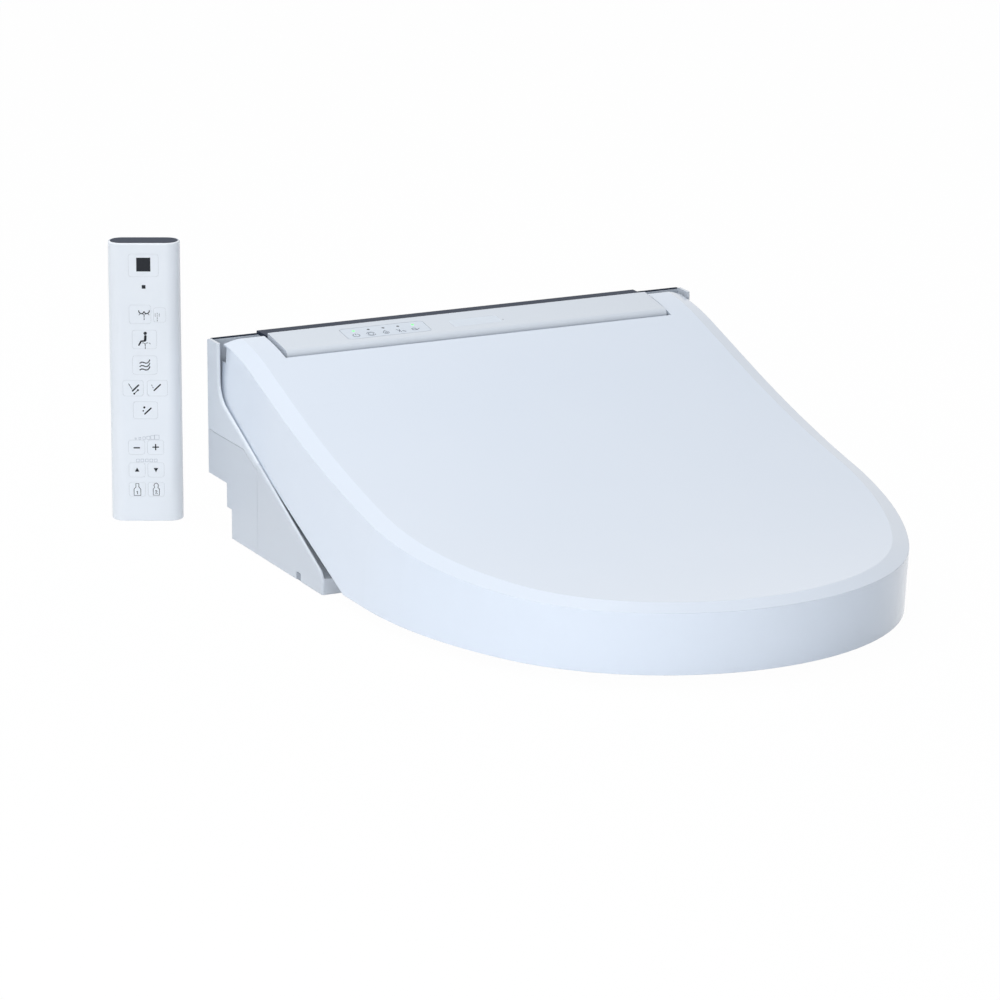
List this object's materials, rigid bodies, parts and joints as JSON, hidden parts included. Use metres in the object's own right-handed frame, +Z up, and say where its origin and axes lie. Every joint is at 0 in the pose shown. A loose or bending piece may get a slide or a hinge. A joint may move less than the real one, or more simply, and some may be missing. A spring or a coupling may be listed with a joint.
{
  "type": "electric bidet seat",
  "caption": "Electric bidet seat with a soft-closing lid and heated ring over a wash and dryer unit, and a slim upright remote control.",
  "frame": {"origin": "midway between the two bowl bolt slots, on the underside that rests on the bowl rim", "axes": "+X to the right as the user faces the seat from the front, the front of the lid faces -Y, +Z up"},
  "size_m": [0.4481, 0.5888, 0.2115],
  "materials": {
    "white_plastic": "glossy white with a cool tint",
    "base_plastic": "satin white",
    "key_plastic": "glossy white with dark printed signs",
    "dark_trim": "dark blue-grey, smooth",
    "panel_film": "pale grey printed film",
    "lamp_lens": "clear tinted lens",
    "pad_rubber": "soft pale grey",
    "steel": "zinc plated",
    "inner_plastic": "grey moulded",
    "heater_plastic": "dark moulded",
    "motor_metal": "plated can",
    "circuit_board": "green board",
    "foil": "thin foil",
    "inlet_brass": "turned and threaded",
    "hose_rubber": "smooth hose",
    "grey_plastic": "grey moulded",
    "wand_plastic": "glossy white"
  },
  "bodies": {
    "base": {"top_cover": "white_plastic", "side_cover_left": "white_plastic", "side_cover_right": "white_plastic", "base_tray": "base_plastic", "rear_trim": "dark_trim", "indicator_panel": "panel_film", "indicator_lamps": "lamp_lens", "hinge_pins": "steel", "casing_screws": "steel", "mounting_plate": "steel", "wand_guide": "inner_plastic", "dryer_case": "inner_plastic", "dryer_duct": "inner_plastic", "filter_housing": "inner_plastic", "solenoid_valve": "inner_plastic", "distribution_valve": "inner_plastic", "hinge_dampers": "inner_plastic", "power_module": "inner_plastic", "water_heater": "heater_plastic", "dryer_motor": "motor_metal", "main_board": "circuit_board", "indicator_board": "circuit_board", "water_inlet": "inlet_brass", "hose_inlet": "hose_rubber", "hose_wash": "hose_rubber", "power_gland": "hose_rubber"},
    "seat": {"seat_top": "white_plastic", "seat_bottom": "base_plastic", "seat_heater": "foil", "seat_bumpers": "pad_rubber"},
    "lid": {"lid_shell": "white_plastic", "lid_bumpers": "pad_rubber"},
    "wand": {"wand": "wand_plastic"},
    "dryer_flap": {"dryer_flap": "inner_plastic"},
    "dryer_impeller": {"dryer_impeller": "inner_plastic"},
    "deodoriser_fan": {"deodoriser_fan": "inner_plastic"},
    "release_button": {"release_button": "grey_plastic"},
    "filter_cartridge": {"filter_cartridge": "white_plastic"},
    "drain_plug": {"drain_plug": "grey_plastic"},
    "remote": {"remote_front": "white_plastic", "remote_back": "white_plastic", "remote_cap": "dark_trim", "remote_board": "circuit_board", "remote_cells": "motor_metal"},
    "battery_door": {"battery_door": "white_plastic"},
    "key_stop": {"key_stop": "key_plastic"},
    "key_rear_wash": {"key_rear_wash": "key_plastic"},
    "key_soft_wash": {"key_soft_wash": "key_plastic"},
    "key_front_wash": {"key_front_wash": "key_plastic"},
    "key_dryer": {"key_dryer": "key_plastic"},
    "key_oscillate": {"key_oscillate": "key_plastic"},
    "key_pulsate": {"key_pulsate": "key_plastic"},
    "key_wand_clean": {"key_wand_clean": "key_plastic"},
    "key_minus": {"key_minus": "key_plastic"},
    "key_plus": {"key_plus": "key_plastic"},
    "key_forward": {"key_forward": "key_plastic"},
    "key_back": {"key_back": "key_plastic"},
    "key_user_one": {"key_user_one": "key_plastic"},
    "key_user_two": {"key_user_two": "key_plastic"}
  },
  "joints": [
    {"name": "seat_hinge", "type": "hinge", "parent": "base", "child": "seat", "pos_m": [0, 0.041, 0.126], "axis": [-1, 0, 0], "range_deg": [0, 100]},
    {"name": "lid_hinge", "type": "hinge", "parent": "seat", "child": "lid", "pos_m": [0, 0.041, 0.126], "axis": [1, 0, 0], "range_deg": [-100, 0]},
    {"name": "wand_slide", "type": "slide", "parent": "base", "child": "wand", "axis": [0, -0.9063, -0.4226], "range_m": [0, 0.095]},
    {"name": "dryer_flap_hinge", "type": "hinge", "parent": "base", "child": "dryer_flap", "pos_m": [0.051, -0.1053, 0.0267], "axis": [-1, 0, 0], "range_deg": [0, 45]},
    {"name": "dryer_spin", "type": "hinge", "parent": "base", "child": "dryer_impeller", "pos_m": [0.051, -0.03, 0.056], "axis": [1, 0, 0], "continuous": true},
    {"name": "fan_spin", "type": "hinge", "parent": "base", "child": "deodoriser_fan", "pos_m": [0.13, 0.044, 0.0525], "axis": [1, 0, 0], "continuous": true},
    {"name": "release_press", "type": "slide", "parent": "base", "child": "release_button", "axis": [1, 0, 0], "range_m": [0, 0.003], "stiffness_N_per_m": 400},
    {"name": "filter_pull", "type": "slide", "parent": "base", "child": "filter_cartridge", "axis": [1, 0, 0], "range_m": [0, 0.06]},
    {"name": "drain_pull", "type": "slide", "parent": "base", "child": "drain_plug", "axis": [0, 1, 0], "range_m": [0, 0.012]},
    {"name": "remote_lift", "type": "slide", "parent": "base", "child": "remote", "axis": [0, 0, 1], "range_m": [0, 0.3]},
    {"name": "battery_door_pull", "type": "slide", "parent": "remote", "child": "battery_door", "axis": [0.4251, 0.9051, 0], "range_m": [0, 0.02]},
    {"name": "key_stop_press", "type": "slide", "parent": "remote", "child": "key_stop", "axis": [0.4251, 0.9051, 0], "range_m": [0, 0.0006], "stiffness_N_per_m": 600},
    {"name": "key_rear_wash_press", "type": "slide", "parent": "remote", "child": "key_rear_wash", "axis": [0.4251, 0.9051, 0], "range_m": [0, 0.0006], "stiffness_N_per_m": 600},
    {"name": "key_soft_wash_press", "type": "slide", "parent": "remote", "child": "key_soft_wash", "axis": [0.4251, 0.9051, 0], "range_m": [0, 0.0006], "stiffness_N_per_m": 600},
    {"name": "key_front_wash_press", "type": "slide", "parent": "remote", "child": "key_front_wash", "axis": [0.4251, 0.9051, 0], "range_m": [0, 0.0006], "stiffness_N_per_m": 600},
    {"name": "key_dryer_press", "type": "slide", "parent": "remote", "child": "key_dryer", "axis": [0.4251, 0.9051, 0], "range_m": [0, 0.0006], "stiffness_N_per_m": 600},
    {"name": "key_oscillate_press", "type": "slide", "parent": "remote", "child": "key_oscillate", "axis": [0.4251, 0.9051, 0], "range_m": [0, 0.0006], "stiffness_N_per_m": 600},
    {"name": "key_pulsate_press", "type": "slide", "parent": "remote", "child": "key_pulsate", "axis": [0.4251, 0.9051, 0], "range_m": [0, 0.0006], "stiffness_N_per_m": 600},
    {"name": "key_wand_clean_press", "type": "slide", "parent": "remote", "child": "key_wand_clean", "axis": [0.4251, 0.9051, 0], "range_m": [0, 0.0006], "stiffness_N_per_m": 600},
    {"name": "key_minus_press", "type": "slide", "parent": "remote", "child": "key_minus", "axis": [0.4251, 0.9051, 0], "range_m": [0, 0.0006], "stiffness_N_per_m": 600},
    {"name": "key_plus_press", "type": "slide", "parent": "remote", "child": "key_plus", "axis": [0.4251, 0.9051, 0], "range_m": [0, 0.0006], "stiffness_N_per_m": 600},
    {"name": "key_forward_press", "type": "slide", "parent": "remote", "child": "key_forward", "axis": [0.4251, 0.9051, 0], "range_m": [0, 0.0006], "stiffness_N_per_m": 600},
    {"name": "key_back_press", "type": "slide", "parent": "remote", "child": "key_back", "axis": [0.4251, 0.9051, 0], "range_m": [0, 0.0006], "stiffness_N_per_m": 600},
    {"name": "key_user_one_press", "type": "slide", "parent": "remote", "child": "key_user_one", "axis": [0.4251, 0.9051, 0], "range_m": [0, 0.0006], "stiffness_N_per_m": 600},
    {"name": "key_user_two_press", "type": "slide", "parent": "remote", "child": "key_user_two", "axis": [0.4251, 0.9051, 0], "range_m": [0, 0.0006], "stiffness_N_per_m": 600}
  ]
}
